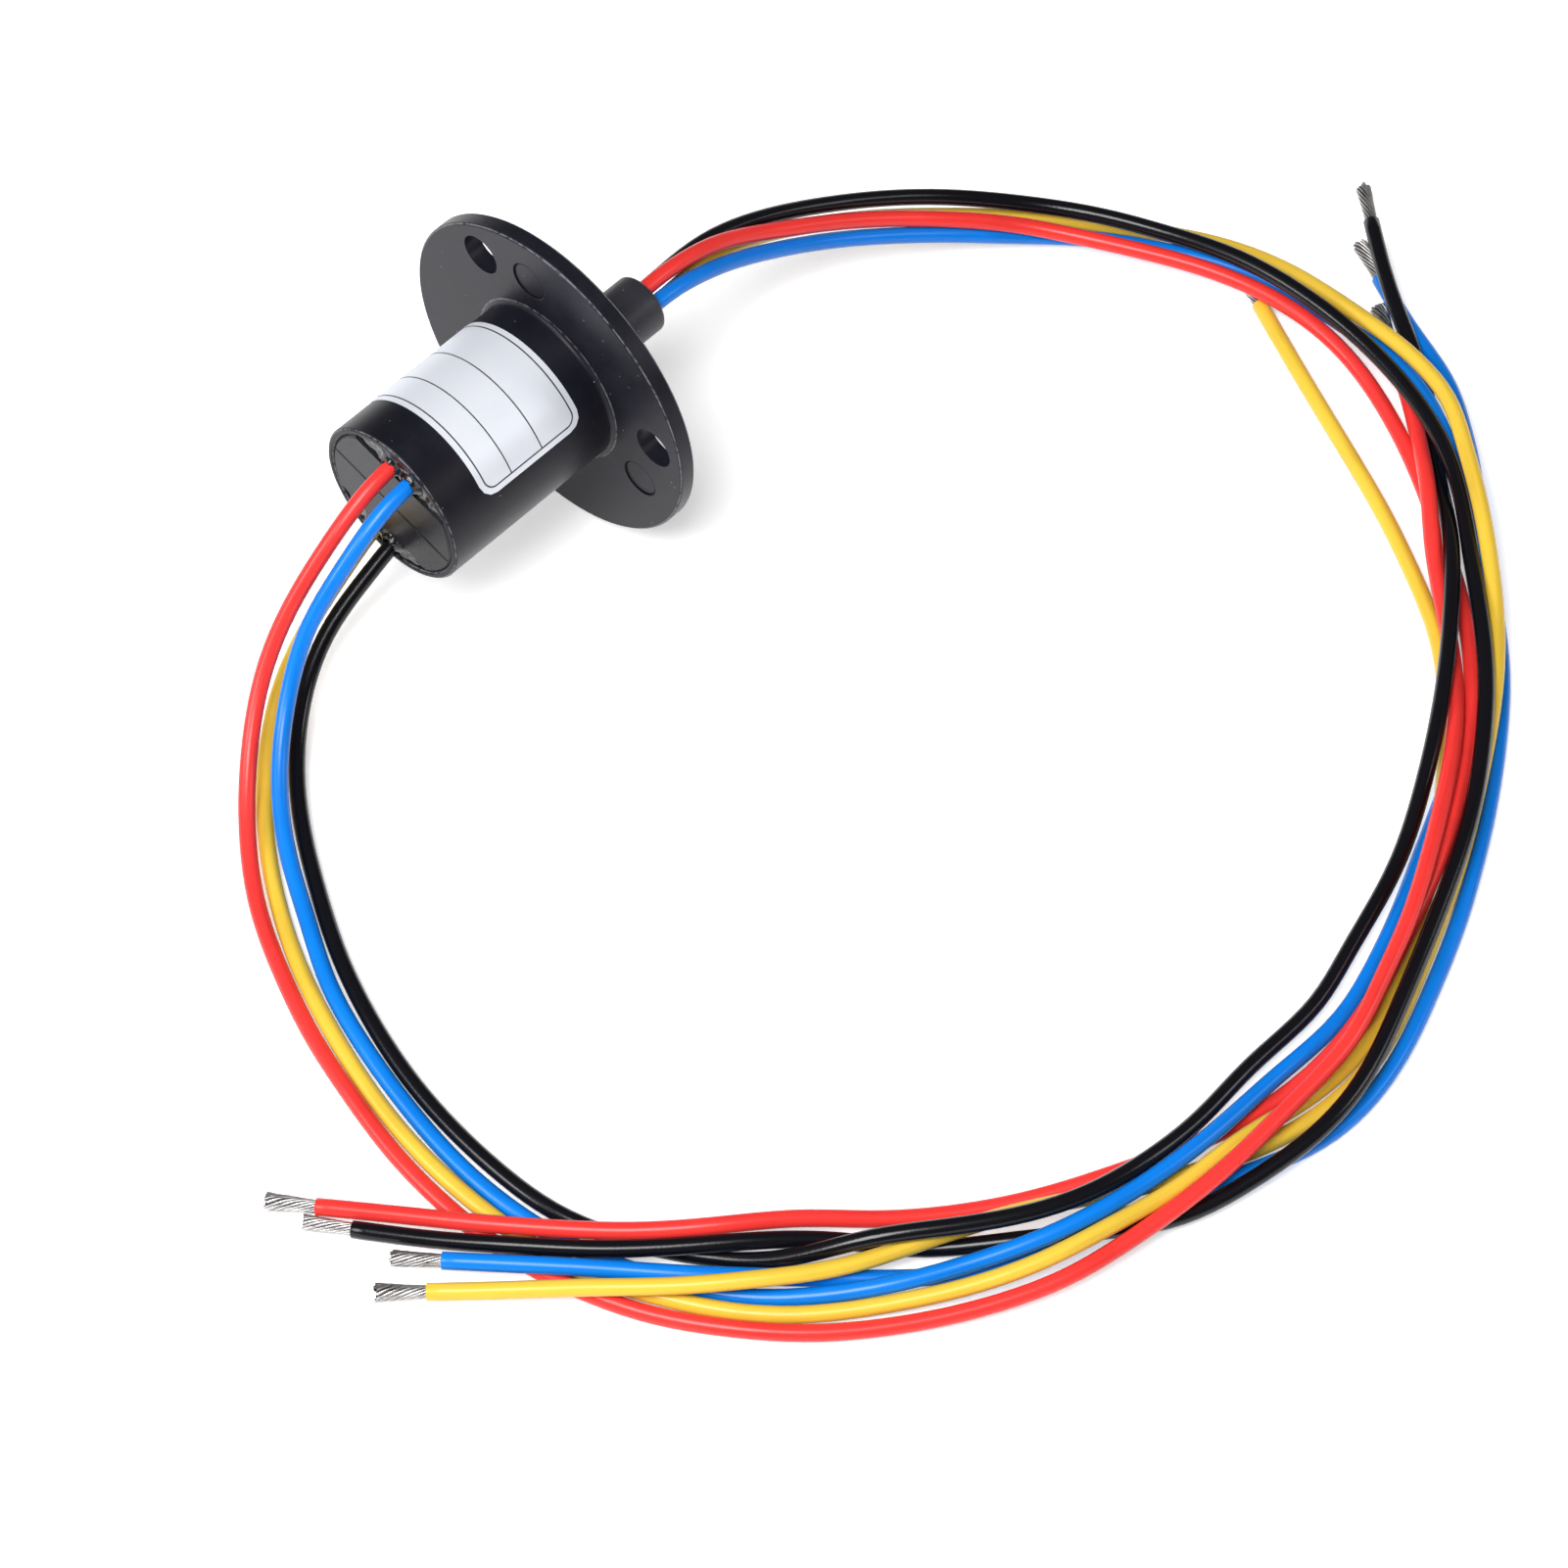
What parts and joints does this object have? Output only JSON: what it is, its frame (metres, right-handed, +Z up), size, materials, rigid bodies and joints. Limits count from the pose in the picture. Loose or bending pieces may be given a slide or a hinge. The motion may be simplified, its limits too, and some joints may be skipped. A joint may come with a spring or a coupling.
{
  "type": "slip ring",
  "caption": "Small capsule slip ring: black flanged barrel, turning neck, and red, blue, yellow and black leads with stripped ends at both sides.",
  "frame": {"origin": "centre of the flange's mounting face, on the axis of rotation", "axes": "+X along the axis of rotation from the cap towards the neck, +Z up from the table, +Y completes the right-handed frame"},
  "size_m": [0.2011, 0.1549, 0.045],
  "materials": {
    "housing_moulding": "black glass-filled moulding, satin, fine grain",
    "label_foil": "silver-white polyester foil with black printed lines",
    "holder_moulding": "dark grey moulding, satin",
    "gold_alloy": "gold-plated contact alloy, polished",
    "resin": "black potting resin, glossy and uneven",
    "copper": "stranded copper",
    "bearing_steel": "ground bearing steel",
    "spring_steel": "plain spring steel",
    "cage_nylon": "natural nylon",
    "shaft_moulding": "black moulding, satin",
    "insulator": "ivory engineering plastic",
    "red_insulation": "red fluoropolymer insulation, satin gloss",
    "blue_insulation": "blue fluoropolymer insulation, satin gloss",
    "yellow_insulation": "yellow fluoropolymer insulation, satin gloss",
    "black_insulation": "black fluoropolymer insulation, satin gloss",
    "tinned_copper": "tinned copper strands, twisted"
  },
  "bodies": {
    "stator": {"housing": "housing_moulding", "label": "label_foil", "brush_holder_upper": "holder_moulding", "brush_holder_lower": "holder_moulding", "brush_set_1": "gold_alloy", "brush_set_2": "gold_alloy", "brush_set_3": "gold_alloy", "brush_set_4": "gold_alloy", "side_potting_upper": "resin", "side_potting_lower": "resin", "stator_conductors": "copper", "front_bearing_outer": "bearing_steel", "rear_bearing_outer": "bearing_steel", "stator_lead_red": "red_insulation", "stator_lead_blue": "blue_insulation", "stator_lead_yellow": "yellow_insulation", "stator_lead_black": "black_insulation", "rotor_lead_red": "red_insulation", "rotor_lead_blue": "blue_insulation", "rotor_lead_yellow": "yellow_insulation", "rotor_lead_black": "black_insulation", "stator_end_red": "tinned_copper", "stator_end_blue": "tinned_copper", "stator_end_yellow": "tinned_copper", "stator_end_black": "tinned_copper", "rotor_end_red": "tinned_copper", "rotor_end_blue": "tinned_copper", "rotor_end_yellow": "tinned_copper", "rotor_end_black": "tinned_copper"},
    "rotor": {"rotor_shaft": "shaft_moulding", "contact_ring_1": "gold_alloy", "contact_ring_2": "gold_alloy", "contact_ring_3": "gold_alloy", "contact_ring_4": "gold_alloy", "insulating_barriers": "insulator", "rear_spacer": "spring_steel", "circlip": "spring_steel", "neck_potting": "resin", "front_bearing_inner": "bearing_steel", "rear_bearing_inner": "bearing_steel", "rotor_tail_red": "red_insulation", "rotor_tail_blue": "blue_insulation", "rotor_tail_yellow": "yellow_insulation", "rotor_tail_black": "black_insulation", "rotor_conductors": "copper"},
    "front_cage": {"front_bearing_balls": "bearing_steel", "front_bearing_cage": "cage_nylon"},
    "rear_cage": {"rear_bearing_balls": "bearing_steel", "rear_bearing_cage": "cage_nylon"}
  },
  "joints": [
    {"name": "rotor_spin", "type": "hinge", "parent": "stator", "child": "rotor", "pos_m": [0, 0, 0], "axis": [1, 0, 0], "continuous": true},
    {"name": "front_cage_spin", "type": "hinge", "parent": "stator", "child": "front_cage", "pos_m": [0, 0, 0], "axis": [1, 0, 0], "continuous": true},
    {"name": "rear_cage_spin", "type": "hinge", "parent": "stator", "child": "rear_cage", "pos_m": [0, 0, 0], "axis": [1, 0, 0], "continuous": true}
  ],
  "couplings": [
    {"joint": "front_cage_spin", "follows": "rotor_spin", "ratio": 0.44},
    {"joint": "rear_cage_spin", "follows": "rotor_spin", "ratio": 0.4286}
  ]
}
